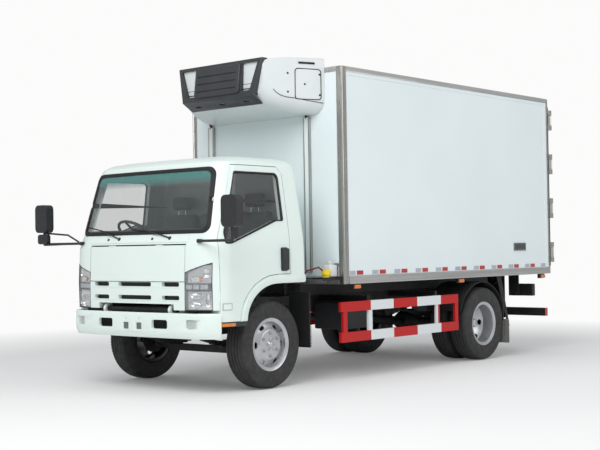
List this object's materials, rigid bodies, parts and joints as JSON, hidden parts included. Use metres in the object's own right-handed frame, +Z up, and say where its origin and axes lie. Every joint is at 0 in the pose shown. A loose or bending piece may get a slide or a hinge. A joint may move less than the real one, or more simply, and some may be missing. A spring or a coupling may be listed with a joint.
{
  "type": "refrigerated truck",
  "caption": "Light forward-control refrigerated truck with tilting cab, insulated box body with swinging rear doors, and a cooling unit over the cab.",
  "frame": {"origin": "on the ground, under the middle of the truck's bounding box", "axes": "+Z up, the cab faces -Y, the rear doors face +Y, the vehicle's left side is +X"},
  "size_m": [2.734, 5.8405, 3.125],
  "materials": {
    "frame_steel": "satin",
    "engine_iron": "matt",
    "cab_paint": "gloss",
    "box_panel": "gloss",
    "stainless": "brushed",
    "black_plastic": "matt",
    "guard_paint": "gloss",
    "rubber_flap": "matt",
    "tyre_rubber": "matt",
    "rim_paint": "satin",
    "glazing": "clear",
    "lamp_lens": "clear",
    "seat_cloth": "woven",
    "floor_ply": "matt"
  },
  "bodies": {
    "chassis": {"ladder_frame": "frame_steel", "engine_block": "engine_iron", "front_axle": "frame_steel", "rear_axle": "frame_steel", "fuel_tank": "frame_steel", "battery_box": "black_plastic", "bumper": "cab_paint", "underrun_bar": "frame_steel", "side_guard_left": "guard_paint", "side_guard_right": "guard_paint", "front_mudguard_left": "rubber_flap", "front_mudguard_right": "rubber_flap", "rear_mudguard_left": "rubber_flap", "rear_mudguard_right": "rubber_flap", "box_floor": "floor_ply", "box_wall_front": "box_panel", "box_roof": "box_panel", "box_rear_frame": "stainless", "evaporator": "box_panel", "unit_housing": "box_panel", "unit_grille": "black_plastic", "box_wall_left": "box_panel", "box_wall_right": "box_panel"},
    "rear_door_left": {"rear_door_left": "box_panel"},
    "rear_door_right": {"rear_door_right": "box_panel"},
    "cab": {"cab_shell": "cab_paint", "windscreen": "glazing", "grille": "cab_paint", "dashboard": "black_plastic", "seats": "seat_cloth", "wipers": "black_plastic", "headlamp_left": "lamp_lens", "headlamp_right": "lamp_lens", "mirror_left": "black_plastic", "mirror_right": "black_plastic"},
    "cab_door_left": {"cab_door_left": "cab_paint", "door_glass_left": "glazing"},
    "cab_door_right": {"cab_door_right": "cab_paint", "door_glass_right": "glazing"},
    "front_lid": {"front_lid": "cab_paint"},
    "knuckle_left": {"knuckle_left": "frame_steel"},
    "knuckle_right": {"knuckle_right": "frame_steel"},
    "track_rod": {"track_rod": "frame_steel"},
    "front_wheel_left": {"front_rim_left": "rim_paint", "front_tyre_left": "tyre_rubber"},
    "front_wheel_right": {"front_rim_right": "rim_paint", "front_tyre_right": "tyre_rubber"},
    "rear_wheels_left": {"rear_rims_left": "rim_paint", "rear_outer_tyre_left": "tyre_rubber", "rear_inner_tyre_left": "tyre_rubber"},
    "rear_wheels_right": {"rear_rims_right": "rim_paint", "rear_outer_tyre_right": "tyre_rubber", "rear_inner_tyre_right": "tyre_rubber"}
  },
  "joints": [
    {"name": "rear_door_left_hinge", "type": "hinge", "parent": "chassis", "child": "rear_door_left", "pos_m": [1.05, 2.90925, 1.977], "axis": [0, 0, -1], "range_deg": [0, 270]},
    {"name": "rear_door_right_hinge", "type": "hinge", "parent": "chassis", "child": "rear_door_right", "pos_m": [-1.05, 2.90925, 1.977], "axis": [0, 0, 1], "range_deg": [0, 270]},
    {"name": "cab_tilt", "type": "hinge", "parent": "chassis", "child": "cab", "pos_m": [0, -2.78775, 0.745], "axis": [1, 0, 0], "range_deg": [0, 45]},
    {"name": "cab_door_left_hinge", "type": "hinge", "parent": "cab", "child": "cab_door_left", "pos_m": [0.9455, -2.70075, 1], "axis": [0, 0, -1], "range_deg": [0, 70]},
    {"name": "cab_door_right_hinge", "type": "hinge", "parent": "cab", "child": "cab_door_right", "pos_m": [-0.9455, -2.70075, 1], "axis": [0, 0, 1], "range_deg": [0, 70]},
    {"name": "front_lid_hinge", "type": "hinge", "parent": "cab", "child": "front_lid", "pos_m": [0, -2.82576, 1.318], "axis": [-1, 0, 0], "range_deg": [0, 80]},
    {"name": "steer_left", "type": "hinge", "parent": "chassis", "child": "knuckle_left", "pos_m": [0.64, -1.99775, 0.403], "axis": [0, 0, 1], "range_deg": [-36, 36]},
    {"name": "steer_right", "type": "hinge", "parent": "chassis", "child": "knuckle_right", "pos_m": [-0.64, -1.99775, 0.403], "axis": [0, 0, 1], "range_deg": [-36, 36]},
    {"name": "track_rod_eye", "type": "hinge", "parent": "knuckle_left", "child": "track_rod", "pos_m": [0.64, -1.82775, 0.2914], "axis": [0, 0, 1], "range_deg": [-36, 36]},
    {"name": "front_left_spin", "type": "hinge", "parent": "knuckle_left", "child": "front_wheel_left", "pos_m": [0.795, -1.99775, 0.403], "axis": [1, 0, 0], "continuous": true},
    {"name": "front_right_spin", "type": "hinge", "parent": "knuckle_right", "child": "front_wheel_right", "pos_m": [-0.795, -1.99775, 0.403], "axis": [1, 0, 0], "continuous": true},
    {"name": "rear_left_spin", "type": "hinge", "parent": "chassis", "child": "rear_wheels_left", "pos_m": [0.805, 1.36725, 0.403], "axis": [1, 0, 0], "continuous": true},
    {"name": "rear_right_spin", "type": "hinge", "parent": "chassis", "child": "rear_wheels_right", "pos_m": [-0.805, 1.36725, 0.403], "axis": [1, 0, 0], "continuous": true}
  ],
  "couplings": [
    {"joint": "steer_right", "follows": "steer_left", "ratio": 1},
    {"joint": "track_rod_eye", "follows": "steer_left", "ratio": -1}
  ]
}
